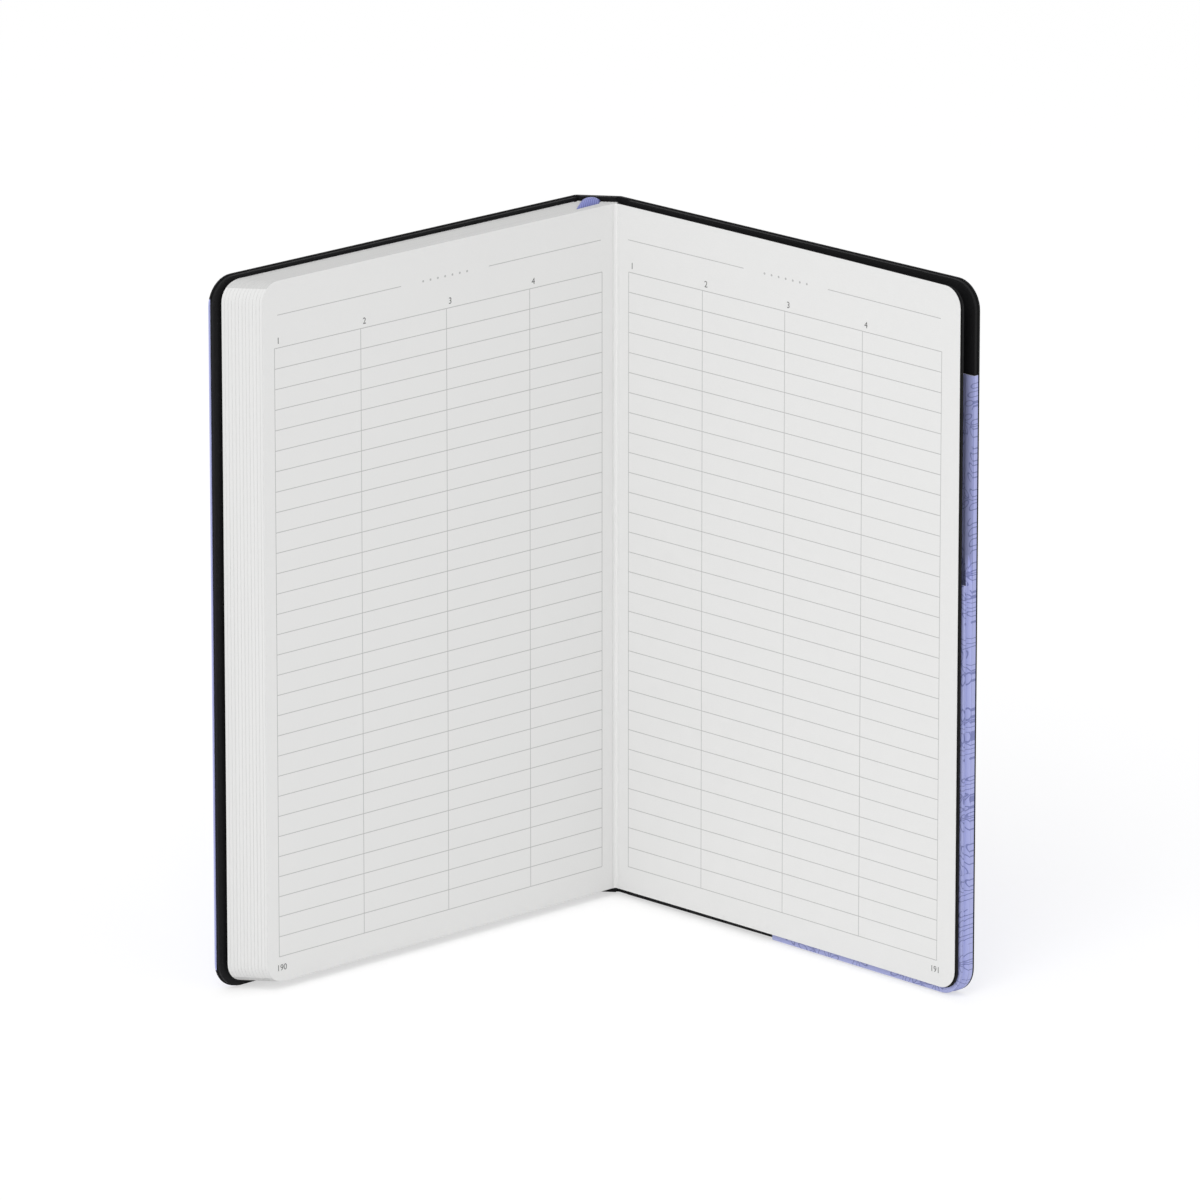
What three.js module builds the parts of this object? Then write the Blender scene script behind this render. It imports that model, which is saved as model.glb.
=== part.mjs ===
// A sewn notebook standing on its tail, open near its last pages.
// Millimetres, +Z up. The origin is the middle of the spine's tail end, and -Y is the side the pages face.
// Every sheet and board is a plan outline carried up from tail to head, with rounded fore-edge corners.

import * as THREE from 'three';

// ---- Driving dimensions -------------------------------------------------------------------------

const COVER_WIDTH = 120;          // hinge to fore-edge
const COVER_HEIGHT = 180;
const COVER_CORNER = 7;           // radius of the cover's rounded corners
const PAGE_WIDTH = 117;
const PAGE_CORNER = 5;
const HEAD_SQUARE = 1.0;          // how far the cover stands past the pages at the head
const TAIL_SQUARE = 1.9;          // and at the tail
const SPINE_WIDTH = 11.2;         // between the two hinge lines

const SKIN = 0.45;                // printed outer covering
const BOARD = 0.85;               // black cover board
const LINING = 0.15;              // black inner paper: pastedowns and flyleaves
const PAPER = 0.1;                // one leaf
const GLUE_GAP = 0.05;            // between glued layers

const GATHERINGS = 12;            // sewn gatherings
const LEAVES_IN_GATHERING = 8;
const FOLD_ROUNDING = 0.3;        // how far a gathering's folded back is rounded
const LEAF_LEAD = 0.4;            // straight run from the fold before a page bends over
const LEAF_BEND_RADIUS = 1.2;

const FRONT_ANGLE = 42.4;         // front cover, degrees forward of -X
const BACK_ANGLE = 44.6;          // back cover, degrees forward of +X
const LEAF_SPLAY = 1.0;           // the last leaf leans this much further forward than the back cover
const SPINE_TILT = 8;             // the spine's back-cover end comes forward by this angle
const LEAF_BOW = 0.5;             // a loose leaf sags this much towards the cover
const GUTTER_CLEAR = 0.25;        // the last leaf's turning line stands this far off the facing page
const SHEET_ROOT = 0.3;           // a loose sheet starts this far from its turning line
const FLYLEAF_BEHIND = 0.3;       // the back flyleaf lies this far behind the last leaf
const FLYLEAF_SHOW = 0.75;        // and reaches this far past its fore-edge
const FRONT_SHEET_START = 2.4;    // the front sheets' turning lines, from the front hinge line
const FRONT_FLYLEAF_DEPTH = 1.55;
const FIRST_LEAF_DEPTH = 1.9;

const HINGE_CLEAR = 0.5;          // a covering stops this far from the hinge line it bends on
const BOARD_CLEAR = 0.95;         // and a board this far, so that its inner corner stays free
const STRIP_LENGTH = 3;           // soft strip between the spine and the back board
const CREASE_CLEAR = 0.4;         // either side of the crease at the strip's far edge

const THREAD = 0.2;
const THREAD_HEIGHT = 0.6;
const STITCH_STATIONS = 5;
const STITCH_MARGIN = 14;         // first and last stitch from the page's tail and head
const SPINE_LINING = 0.25;

const RIBBON = 0.25;
const RIBBON_WIDTH = 5.8;
const RIBBON_GLUED = 24;          // length held behind the spine lining
const RIBBON_RISE = 1.3;          // how far the loop stands above its foot
const RIBBON_PLACE = -1.5;        // along the spine from its middle
const RIBBON_DRIFT = 0.6;         // how far the loop leans towards the front cover
const RIBBON_CLEAR = 0.1;         // its foot stands this far above the pages
const RIBBON_REACH = 5.5;         // how far the loop comes forward before it dips into the pages
const RIBBON_CUP = 1.2;           // how far its two edges curl down at the top of the loop

const POCKET_START = 55;          // from the back cover's hinge line
const POCKET_TAIL = 0.25;         // the front panel's tail above the cover's tail
const POCKET_BACK_HEIGHT = 157;
const POCKET_FRONT_HEIGHT = 105;  // at the fore-edge
const POCKET_FRONT_RISE = 7;      // further height on the spine side
const POCKET_DEPTH = 0.85;        // inside, between back sheet and front panel, on the spine side
const POCKET_GAPE = 1.6;          // how much deeper it stands open at the fore-edge
const POCKET_CARD = 0.2;
const CARD_TURN = 0.02;           // length in which the card passes from the board's face to its edge
const GUSSET_PAPER = 0.14;
const GUSSET_PLEAT = 4;           // how far the pleat folds in

// ---- Worked out from them -----------------------------------------------------------------------

const PAGE_TAIL = TAIL_SQUARE;
const PAGE_HEAD = COVER_HEIGHT - HEAD_SQUARE;
const LEAF_TURN = 90 - FRONT_ANGLE - SPINE_TILT;   // how far a page bends over from its fold, degrees
const LEAF_ARC = THREE.MathUtils.degToRad(LEAF_TURN) * LEAF_BEND_RADIUS;
const SKIN_INNER = SKIN / 2;
const BOARD_OUTER = SKIN_INNER + GLUE_GAP;
const BOARD_INNER = BOARD_OUTER + BOARD;
const PASTE_OUTER = BOARD_INNER + GLUE_GAP;
const PASTE_INNER = PASTE_OUTER + LINING;
const RIBBON_DEPTH = BOARD_INNER + GLUE_GAP;
const SPINE_LINING_DEPTH = RIBBON_DEPTH + RIBBON + GLUE_GAP;
const THREAD_DEPTH = SPINE_LINING_DEPTH + SPINE_LINING + GLUE_GAP;
const FOLD_DEPTH = THREAD_DEPTH + THREAD + GLUE_GAP;
const GATHERING = LEAVES_IN_GATHERING * PAPER;
const GATHERING_PITCH = GATHERING + GLUE_GAP;
const BLOCK_WIDTH = GATHERINGS * GATHERING_PITCH;
const BLOCK_START = -BLOCK_WIDTH / 2;
const FACING_OUTER = -BLOCK_START - GLUE_GAP;      // outer face of the leaf that faces the reader
const BOARD_INSET = POCKET_CARD + GLUE_GAP;        // lets the pocket's card turn over the board's edge
const POCKET_CARD_INNER = PASTE_INNER + GLUE_GAP + POCKET_CARD;
const POCKET_PANEL_OUTER = POCKET_CARD_INNER + POCKET_DEPTH;
const POCKET_PANEL_INNER = POCKET_PANEL_OUTER + POCKET_CARD;

const COLOURS = {
  skin: 0xaeb4e4,
  black: 0x1c1c1c,
  paper: 0xe4e4e2,
  ribbon: 0x8087c8,
  thread: 0xf2f0ea,
  pocket: 0xaeb4e4,
  mull: 0xcfccc2,
};

const radians = THREE.MathUtils.degToRad;

function material(colour, roughness) {
  return new THREE.MeshStandardMaterial({ color: COLOURS[colour], roughness, metalness: 0 });
}

// ---- Shapes -------------------------------------------------------------------------------------

/** A closed solid through a row of rings; corner i faces the corner that is i from the ring's end. */
function loftGeometry(rings) {
  const faces = [];
  const count = rings[0].length;
  const quad = (p, q, r, s) => faces.push(p, q, r, p, r, s);
  for (let i = 0; i + 1 < rings.length; i += 1) {
    for (let side = 0; side < count; side += 1) {
      const here = count * i + side;
      const next = count * i + ((side + 1) % count);
      quad(here, next, next + count, here + count);
    }
  }
  const last = count * (rings.length - 1);
  for (let k = 0; k + 1 < count / 2; k += 1) {
    const across = count - 1 - k;
    quad(across, across - 1, k + 1, k);
    quad(last + k, last + k + 1, last + across - 1, last + across);
  }
  const geometry = new THREE.BufferGeometry();
  geometry.setAttribute('position', new THREE.Float32BufferAttribute(rings.flat(2), 3));
  geometry.setIndex(faces);
  return faceOutwards(geometry);
}

/** A sheet between two upright walls: each column has a point on either wall and its own levels. */
function sheetGeometry(columns) {
  return loftGeometry(columns.map(({ a, b, low, high }) => [
    [a.x, a.y, low],
    [a.x, a.y, high],
    [b.x, b.y, high],
    [b.x, b.y, low],
  ]));
}

/** Turns every face round if the solid came out inside out, then works out its normals. */
function faceOutwards(geometry) {
  const position = geometry.getAttribute('position');
  const index = geometry.getIndex();
  const corners = [new THREE.Vector3(), new THREE.Vector3(), new THREE.Vector3()];
  let volume = 0;
  for (let i = 0; i < index.count; i += 3) {
    corners.forEach((corner, k) => corner.fromBufferAttribute(position, index.getX(i + k)));
    volume += corners[0].dot(corners[1].cross(corners[2]));
  }
  if (volume < 0) {
    for (let i = 0; i < index.count; i += 3) {
      const first = index.getX(i);
      index.setX(i, index.getX(i + 1));
      index.setX(i + 1, first);
    }
  }
  geometry.computeVertexNormals();
  return geometry;
}

/** How much a rounded corner takes off the height at this distance from the sheet's free edge. */
function cornerInset(radius, fromEdge) {
  if (fromEdge >= radius) {
    return 0;
  }
  return radius - Math.sqrt(radius ** 2 - (radius - fromEdge) ** 2);
}

/** Distances along a sheet that ends in a corner of this radius, closest together on the round. */
function cornerStations(end, radius) {
  const stations = [];
  const steps = 8;
  for (let k = 0; k <= steps; k += 1) {
    stations.push(end - radius + radius * Math.sin((k / steps) * (Math.PI / 2)));
  }
  return stations;
}

/** A flat plate along +X in its group, from one level of depth to another. */
function plateGeometry(shape) {
  const { from, to, near, far, low, high } = shape;
  const { corner = 0, tailOnly = false, bow = 0, lean = { near: 0, far: 0 } } = shape;
  const stations = [from];
  const steps = bow ? 12 : 1;
  for (let k = 1; k < steps; k += 1) {
    stations.push(from + ((to - corner - from) * k) / steps);
  }
  stations.push(...(corner ? cornerStations(to, corner) : [to]));
  const columns = stations.map((x) => {
    const inset = cornerInset(corner, to - x);
    const sag = bow * Math.sin(Math.PI * (x - from) / (to - from));
    const part = (x - from) / (to - from);
    const top = typeof high === 'function' ? high(x) : high;
    return {
      a: { x, y: near + sag + lean.near * part },
      b: { x, y: far + sag + lean.far * part },
      low: low + inset,
      high: top - (tailOnly ? 0 : inset),
    };
  });
  return sheetGeometry(columns);
}

/** A plate whose card turns over the board's edge, round the tail corner and up the fore-edge. */
function wrappedPlateGeometry({ from, to, outer, near, far, high, corner, card }) {
  const edge = to - card;
  const stations = [from, ...cornerStations(edge, corner - card), edge + CARD_TURN, to - card / 2, to];
  return loftGeometry(stations.map((x) => {
    const low = cornerInset(corner, to - x);
    const turned = x > edge;
    const ledge = turned ? high : card + cornerInset(corner - card, edge - x);
    const ledgeFrom = turned ? (near + outer) / 2 : near;
    return [
      [x, outer, low],
      [x, far, low],
      [x, far, high],
      [x, near, high],
      [x, ledgeFrom, ledge],
      [x, outer, ledge],
    ];
  }));
}

/** Where a page is at this distance from its fold: out of the spine, over the bend, to the fore-edge. */
function leafRoute(distance) {
  const bent = THREE.MathUtils.clamp(distance - LEAF_LEAD, 0, LEAF_ARC);
  const turned = bent / LEAF_BEND_RADIUS;
  const lead = Math.min(distance, LEAF_LEAD);
  const straight = Math.max(distance - LEAF_LEAD - LEAF_ARC, 0);
  return {
    x: -LEAF_BEND_RADIUS * (1 - Math.cos(turned)) - straight * Math.sin(turned),
    y: -lead - LEAF_BEND_RADIUS * Math.sin(turned) - straight * Math.cos(turned),
  };
}

/** A gathering or a single leaf on the front cover's side, as thick as given along the spine. */
function leftLeafGeometry(thickness, rounding = 0) {
  const bendSteps = 6;
  const stations = rounding ? [0, rounding * 0.3, rounding] : [0];
  for (let k = 0; k <= bendSteps; k += 1) {
    stations.push(LEAF_LEAD + (LEAF_ARC * k) / bendSteps);
  }
  stations.push(...cornerStations(PAGE_WIDTH, PAGE_CORNER));
  const columns = stations.map((distance) => {
    const { x, y } = leafRoute(distance);
    const drawnIn = 0.9 * cornerInset(rounding, distance);
    const inset = cornerInset(PAGE_CORNER, PAGE_WIDTH - distance);
    return {
      a: { x: x + drawnIn, y },
      b: { x: x + thickness - drawnIn, y },
      low: PAGE_TAIL + inset,
      high: PAGE_HEAD - inset,
    };
  });
  return sheetGeometry(columns);
}

function addMesh(group, name, geometry, paint) {
  const mesh = new THREE.Mesh(geometry, paint);
  mesh.name = name;
  group.add(mesh);
  return mesh;
}

// ---- Spine and text block -----------------------------------------------------------------------

function addSpine(spine) {
  const half = SPINE_WIDTH / 2;
  const full = { low: 0, high: COVER_HEIGHT };
  const skin = { from: HINGE_CLEAR - half, to: half - HINGE_CLEAR, near: SKIN_INNER, far: -SKIN_INNER };
  addMesh(spine, 'spine_skin', plateGeometry({ ...skin, ...full }), material('skin', 0.6));
  const inlay = { from: BOARD_CLEAR - half, to: half - BOARD_CLEAR, near: -BOARD_OUTER, far: -BOARD_INNER };
  addMesh(spine, 'spine_inlay', plateGeometry({ ...inlay, ...full }), material('black', 0.7));
  const lining = {
    from: BLOCK_START,
    to: -BLOCK_START,
    near: -SPINE_LINING_DEPTH,
    far: -SPINE_LINING_DEPTH - SPINE_LINING,
    low: PAGE_TAIL + 1,
    high: PAGE_HEAD - 1,
  };
  addMesh(spine, 'spine_lining', plateGeometry(lining), material('mull', 0.9));
}

function addSewing(spine) {
  const run = PAGE_HEAD - PAGE_TAIL - 2 * STITCH_MARGIN;
  for (let k = 0; k < STITCH_STATIONS; k += 1) {
    const level = PAGE_TAIL + STITCH_MARGIN + (run * k) / (STITCH_STATIONS - 1);
    const stitch = {
      from: BLOCK_START + GATHERING_PITCH / 2,
      to: -BLOCK_START - GATHERING_PITCH / 2,
      near: -THREAD_DEPTH,
      far: -THREAD_DEPTH - THREAD,
      low: level - THREAD_HEIGHT / 2,
      high: level + THREAD_HEIGHT / 2,
    };
    addMesh(spine, `sewing_thread_${k + 1}`, plateGeometry(stitch), material('thread', 0.8));
  }
}

/** Leaves held in a gathering: the block's first leaf and its last two are made on their own. */
function boundLeaves(number) {
  if (number === 1) {
    return LEAVES_IN_GATHERING - 1;
  }
  return number === GATHERINGS ? LEAVES_IN_GATHERING - 2 : LEAVES_IN_GATHERING;
}

/** The leaf that faces the reader, and behind it the gatherings side by side along the spine. */
function addTextBlock(spine) {
  const facing = addMesh(spine, 'facing_leaf', leftLeafGeometry(PAPER), material('paper', 0.9));
  let place = FACING_OUTER - PAPER;
  facing.position.set(place, -FOLD_DEPTH, 0);
  for (let number = GATHERINGS; number > 0; number -= 1) {
    const thickness = boundLeaves(number) * PAPER;
    const geometry = leftLeafGeometry(thickness, FOLD_ROUNDING);
    const name = `gathering_${String(number).padStart(2, '0')}`;
    const gathering = addMesh(spine, name, geometry, material('paper', 0.9));
    place -= GLUE_GAP + thickness;
    gathering.position.set(place, -FOLD_DEPTH, 0);
  }
}

/** The bookmark: glued behind the spine lining, looping over the head and turning into the pages. */
function addRibbon(spine) {
  const depth = RIBBON_DEPTH + RIBBON / 2;
  const foot = PAGE_HEAD + RIBBON_CLEAR;
  const steps = 12;
  const strands = 6;
  const route = [{ x: RIBBON_PLACE, y: -depth, z: PAGE_HEAD - RIBBON_GLUED, rise: 0, turn: 0, cup: 0 }];
  for (let k = 0; k <= steps; k += 1) {
    const part = k / steps;
    const around = part * Math.PI;
    route.push({
      x: RIBBON_PLACE - RIBBON_DRIFT * part ** 2,
      y: -depth - (RIBBON_REACH / 2) * (1 - Math.cos(around)),
      z: foot + RIBBON_RISE * Math.sin(around),
      rise: Math.atan2((RIBBON_REACH / 2) * Math.sin(around), RIBBON_RISE * Math.cos(around)),
      turn: radians(90 - LEAF_TURN) * THREE.MathUtils.smoothstep(part, 0, 1),
      cup: RIBBON_CUP * Math.sin(around),
    });
  }
  const rings = route.map(({ x, y, z, rise, turn, cup }) => {
    const across = new THREE.Vector3(Math.cos(turn), Math.sin(turn), 0);
    const along = new THREE.Vector3(0, -Math.sin(rise), Math.cos(rise));
    const out = new THREE.Vector3().crossVectors(across, along).normalize();
    const strand = (k, face) => {
      const side = (2 * k) / strands - 1;
      return new THREE.Vector3(x, y, z)
        .addScaledVector(across, (side * RIBBON_WIDTH) / 2)
        .addScaledVector(out, (face * RIBBON) / 2 + cup * side ** 2)
        .toArray();
    };
    const count = Array.from({ length: strands + 1 }, (_, k) => k);
    return [...count.map((k) => strand(k, -1)), ...count.reverse().map((k) => strand(k, 1))];
  });
  addMesh(spine, 'ribbon_bookmark', loftGeometry(rings), material('ribbon', 0.7));
}

// ---- Front cover --------------------------------------------------------------------------------

/** The three layers of one cover; side is +1 where the pages lie on the group's +Y side. */
function addCoverLayers(group, name, side, start) {
  const layer = (from, near, far, inset) => plateGeometry({
    from,
    to: COVER_WIDTH - inset,
    near: side * near,
    far: side * far,
    low: inset,
    high: COVER_HEIGHT - inset,
    corner: COVER_CORNER - inset,
  });
  const skin = layer(start.skin, -SKIN_INNER, SKIN_INNER, 0);
  const board = layer(start.board, BOARD_OUTER, BOARD_INNER, BOARD_INSET);
  const pastedown = layer(start.board, PASTE_OUTER, PASTE_INNER, BOARD_INSET);
  addMesh(group, `${name}_cover_skin`, skin, material('skin', 0.6));
  addMesh(group, `${name}_board`, board, material('black', 0.7));
  addMesh(group, `${name}_pastedown`, pastedown, material('black', 0.85));
}

/** A loose sheet that starts at its own hinge point on the inner side of a cover. */
function addFrontSheet(cover, name, depth, thickness, paint) {
  const sheet = {
    from: FRONT_SHEET_START,
    to: PAGE_WIDTH,
    near: depth,
    far: depth + thickness,
    low: PAGE_TAIL,
    high: PAGE_HEAD,
    corner: PAGE_CORNER,
  };
  addMesh(cover, name, plateGeometry(sheet), paint);
}

function addFrontCover(spine) {
  const cover = new THREE.Group();
  cover.position.set(-SPINE_WIDTH / 2, 0, 0);
  cover.rotation.z = radians(180 + FRONT_ANGLE + SPINE_TILT);
  addCoverLayers(cover, 'front', 1, { skin: HINGE_CLEAR, board: BOARD_CLEAR });
  addFrontSheet(cover, 'front_flyleaf', FRONT_FLYLEAF_DEPTH, LINING, material('black', 0.85));
  addFrontSheet(cover, 'first_leaf', FIRST_LEAF_DEPTH, PAPER, material('paper', 0.9));
  spine.add(cover);
}

// ---- Back cover, with the last leaf and the pocket ------------------------------------------------

/** A pleated side of the pocket, open towards its outer edge. */
function addGusset(cover, name, { edge, inwards, height, gape }) {
  const outer = -POCKET_CARD_INNER - GLUE_GAP;
  const inner = -POCKET_PANEL_OUTER - gape + GLUE_GAP;
  const middle = (outer + inner) / 2;
  const half = (outer - inner) / 2;
  const crease = edge + inwards * GUSSET_PLEAT;
  const valley = edge + inwards * GUSSET_PLEAT * (1 - GUSSET_PAPER / half);
  const outline = new THREE.Shape();
  outline.moveTo(edge, outer);
  outline.lineTo(crease, middle);
  outline.lineTo(edge, inner);
  outline.lineTo(edge, inner + GUSSET_PAPER);
  outline.lineTo(valley, middle);
  outline.lineTo(edge, outer - GUSSET_PAPER);
  const depth = height - POCKET_TAIL - COVER_CORNER;
  const geometry = new THREE.ExtrudeGeometry(outline, { depth, bevelEnabled: false });
  const gusset = addMesh(cover, name, geometry, material('pocket', 0.75));
  gusset.position.z = POCKET_TAIL + COVER_CORNER;
}

function addPocket(cover) {
  const edge = COVER_WIDTH;
  const frontTop = (x) => {
    const part = (edge - x) / (edge - POCKET_START);
    return POCKET_FRONT_HEIGHT + POCKET_FRONT_RISE * part ** 2;
  };
  const back = wrappedPlateGeometry({
    from: POCKET_START,
    to: edge,
    outer: -BOARD_OUTER,
    near: -PASTE_INNER - GLUE_GAP,
    far: -POCKET_CARD_INNER,
    high: POCKET_BACK_HEIGHT,
    corner: COVER_CORNER,
    card: POCKET_CARD,
  });
  addMesh(cover, 'pocket_back_sheet', back, material('pocket', 0.75));
  const panel = plateGeometry({
    from: POCKET_START,
    to: edge,
    near: -POCKET_PANEL_OUTER,
    far: -POCKET_PANEL_INNER,
    low: POCKET_TAIL,
    high: frontTop,
    corner: COVER_CORNER,
    tailOnly: true,
    lean: { near: -POCKET_GAPE, far: -POCKET_GAPE },
  });
  addMesh(cover, 'pocket_front_panel', panel, material('pocket', 0.75));
  const foldPart = (edge - COVER_CORNER - POCKET_START) / (edge - POCKET_START);
  const fold = plateGeometry({
    from: POCKET_START,
    to: edge - COVER_CORNER,
    near: -POCKET_CARD_INNER - GLUE_GAP,
    far: -POCKET_PANEL_OUTER + GLUE_GAP,
    low: POCKET_TAIL,
    high: POCKET_TAIL + POCKET_CARD,
    lean: { near: 0, far: -POCKET_GAPE * foldPart },
  });
  addMesh(cover, 'pocket_tail_fold', fold, material('pocket', 0.75));
  const fore = { edge, inwards: -1, height: POCKET_BACK_HEIGHT, gape: POCKET_GAPE };
  addGusset(cover, 'pocket_fore_gusset', fore);
  const inner = { edge: POCKET_START, inwards: 1, height: POCKET_FRONT_HEIGHT, gape: 0 };
  addGusset(cover, 'pocket_spine_gusset', inner);
}

function addBackCover(spine) {
  const cover = new THREE.Group();
  cover.position.set(SPINE_WIDTH / 2, 0, 0);
  cover.rotation.z = radians(SPINE_TILT - BACK_ANGLE);
  const strip = {
    from: HINGE_CLEAR,
    to: STRIP_LENGTH,
    near: SKIN_INNER,
    far: -SKIN_INNER - LINING,
    low: 0,
    high: COVER_HEIGHT,
  };
  addMesh(cover, 'back_hinge_strip', plateGeometry(strip), material('black', 0.8));
  const start = STRIP_LENGTH + 2 * CREASE_CLEAR;
  addCoverLayers(cover, 'back', -1, { skin: start, board: start });
  addPocket(cover);
  spine.add(cover);
}

/** The last leaf and the black flyleaf behind it, both turning on the gutter line. */
function addBackSheets(spine) {
  const bend = leafRoute(LEAF_LEAD + LEAF_ARC);
  const turn = radians(LEAF_TURN);
  const gutter = new THREE.Group();
  gutter.position.set(
    FACING_OUTER + bend.x + GUTTER_CLEAR * Math.cos(turn),
    bend.y - FOLD_DEPTH - GUTTER_CLEAR * Math.sin(turn),
    0,
  );
  gutter.rotation.z = radians(SPINE_TILT - BACK_ANGLE - LEAF_SPLAY);
  const page = { from: SHEET_ROOT, low: PAGE_TAIL, high: PAGE_HEAD, corner: PAGE_CORNER, bow: LEAF_BOW };
  const leaf = { to: PAGE_WIDTH, near: -PAPER / 2, far: PAPER / 2 };
  addMesh(gutter, 'last_leaf', plateGeometry({ ...page, ...leaf }), material('paper', 0.9));
  const flyleaf = { to: PAGE_WIDTH + FLYLEAF_SHOW, near: FLYLEAF_BEHIND, far: FLYLEAF_BEHIND + LINING };
  addMesh(gutter, 'back_flyleaf', plateGeometry({ ...page, ...flyleaf }), material('black', 0.85));
  spine.add(gutter);
}

// ---- The notebook -------------------------------------------------------------------------------

const spine = new THREE.Group();
spine.rotation.z = radians(-SPINE_TILT);
addSpine(spine);
addSewing(spine);
addTextBlock(spine);
addRibbon(spine);
addFrontCover(spine);
addBackCover(spine);
addBackSheets(spine);

const notebook = new THREE.Group();
notebook.add(spine);

export default notebook;
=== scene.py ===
# %% [markdown]
# A sewn notebook stands on its tail, open near its last pages. The solid model gives every
# piece its size and place, so this lesson dresses it: paper, print, black boards and a
# covering that bends. Lengths in the tables below are in millimetres, and the scene is in metres.

# %% Load the model
import math

import bmesh
import bpy
from mathutils import Matrix, Vector


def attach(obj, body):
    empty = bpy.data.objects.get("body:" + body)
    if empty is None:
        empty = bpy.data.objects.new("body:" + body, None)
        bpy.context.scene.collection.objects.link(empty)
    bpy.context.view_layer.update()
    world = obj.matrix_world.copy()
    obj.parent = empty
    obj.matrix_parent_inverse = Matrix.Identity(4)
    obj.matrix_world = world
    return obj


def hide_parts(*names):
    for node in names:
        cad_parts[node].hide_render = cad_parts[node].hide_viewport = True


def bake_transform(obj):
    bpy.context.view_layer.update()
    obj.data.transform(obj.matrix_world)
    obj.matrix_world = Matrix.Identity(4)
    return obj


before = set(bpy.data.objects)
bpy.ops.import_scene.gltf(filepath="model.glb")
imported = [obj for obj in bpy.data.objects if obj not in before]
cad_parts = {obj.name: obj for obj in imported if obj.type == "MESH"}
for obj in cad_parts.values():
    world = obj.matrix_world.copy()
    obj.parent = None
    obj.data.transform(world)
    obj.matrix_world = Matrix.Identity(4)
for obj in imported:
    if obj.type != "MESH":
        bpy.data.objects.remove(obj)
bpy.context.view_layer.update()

MM = 0.001

# %% [markdown]
# The camera comes first, because everything else is judged through it. A product photograph
# is taken from far away with a long lens, which keeps upright edges nearly parallel. So the
# camera stands nearly three metres off and looks slightly down at the open pages.

# %% Camera
CAMERA_DISTANCE = 2.9
CAMERA_ELEVATION = 16.3
CAMERA_AZIMUTH = -0.39
CAMERA_AIM = Vector((0.0004, -0.004, 0.0771))
CAMERA_LENS = 349.3
lens = bpy.data.cameras.new("studio camera")
lens.sensor_width = 36
lens.lens = CAMERA_LENS
lens.clip_end = 20
camera = bpy.data.objects.new("studio camera", lens)
bpy.context.collection.objects.link(camera)
rise, swing = math.radians(CAMERA_ELEVATION), math.radians(CAMERA_AZIMUTH)
outwards = Vector((
    math.sin(swing) * math.cos(rise), -math.cos(swing) * math.cos(rise), math.sin(rise)))
camera.location = CAMERA_AIM + CAMERA_DISTANCE * outwards
camera.rotation_euler = (CAMERA_AIM - camera.location).to_track_quat("-Z", "Y").to_euler()
bpy.context.scene.camera = camera
print("camera at", tuple(round(v, 3) for v in camera.location))

# %% [markdown]
# A notebook is flat sheets set at angles round one upright spine. Each sheet is easiest to
# describe in its own frame: how far along it, how deep, how high. One small function turns
# such a place into the shared frame, and the same headings serve the shapes and the prints.

# %% Frames of the spine, the covers and the pages
SPINE_WIDTH = 11.2
SPINE_TILT = -8.0
FRONT_HEADING = 222.4
BACK_HEADING = -44.6
LAST_LEAF_HEADING = -45.6
COVER_WIDTH = 120
COVER_HEIGHT = 180
COVER_CORNER = 7
PAGE_TAIL = 1.9
PAGE_HEAD = 179
FACING_START = (4.2842, -3.8234)
GUTTER = (4.4528, -4.0080)


def in_frame(origin, heading, along, deep):
    """A place in a sheet's own frame, as x and y in millimetres in the shared frame."""
    turn = math.radians(heading)
    return (
        origin[0] + along * math.cos(turn) - deep * math.sin(turn),
        origin[1] + along * math.sin(turn) + deep * math.cos(turn),
    )


def on_spine(along, deep):
    return in_frame((0, 0), SPINE_TILT, along, deep)


def on_front(along, deep):
    return in_frame(on_spine(-SPINE_WIDTH / 2, 0), FRONT_HEADING, along, deep)


def on_back(along, deep):
    return in_frame(on_spine(SPINE_WIDTH / 2, 0), BACK_HEADING, along, deep)


def point(xy, height):
    return Vector((xy[0] * MM, xy[1] * MM, height * MM))


print("front hinge", on_spine(-SPINE_WIDTH / 2, 0), "back hinge", on_spine(SPINE_WIDTH / 2, 0))

# %% [markdown]
# Materials are made of nodes. These helpers keep each step to one line: a maths node, a coordinate
# turned into a sheet's own frame in millimetres, and a band, which is what every printed line is.

# %% Node helpers


def link(tree, source, target):
    if isinstance(source, (int, float)):
        target.default_value = source
    else:
        tree.links.new(source, target)


def maths(tree, operation, *values):
    node = tree.nodes.new("ShaderNodeMath")
    node.operation = operation
    for value, socket in zip(values, node.inputs):
        link(tree, value, socket)
    return node.outputs[0]


def sheet_coordinates(tree, origin, heading):
    """Along, deep and high in millimetres, in the frame of a sheet."""
    place = tree.nodes.new("ShaderNodeTexCoord")
    mapping = tree.nodes.new("ShaderNodeMapping")
    mapping.vector_type = "TEXTURE"
    mapping.inputs["Location"].default_value = (origin[0] * MM, origin[1] * MM, 0)
    mapping.inputs["Rotation"].default_value = (0, 0, math.radians(heading))
    mapping.inputs["Scale"].default_value = (MM, MM, MM)
    tree.links.new(place.outputs["Object"], mapping.inputs["Vector"])
    split = tree.nodes.new("ShaderNodeSeparateXYZ")
    tree.links.new(mapping.outputs[0], split.inputs[0])
    return split.outputs


def own_coordinates(tree):
    """The flat coordinates that a folded piece carries with it."""
    layer = tree.nodes.new("ShaderNodeUVMap")
    layer.uv_map = "cloth"
    split = tree.nodes.new("ShaderNodeSeparateXYZ")
    tree.links.new(layer.outputs[0], split.inputs[0])
    return split.outputs


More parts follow.
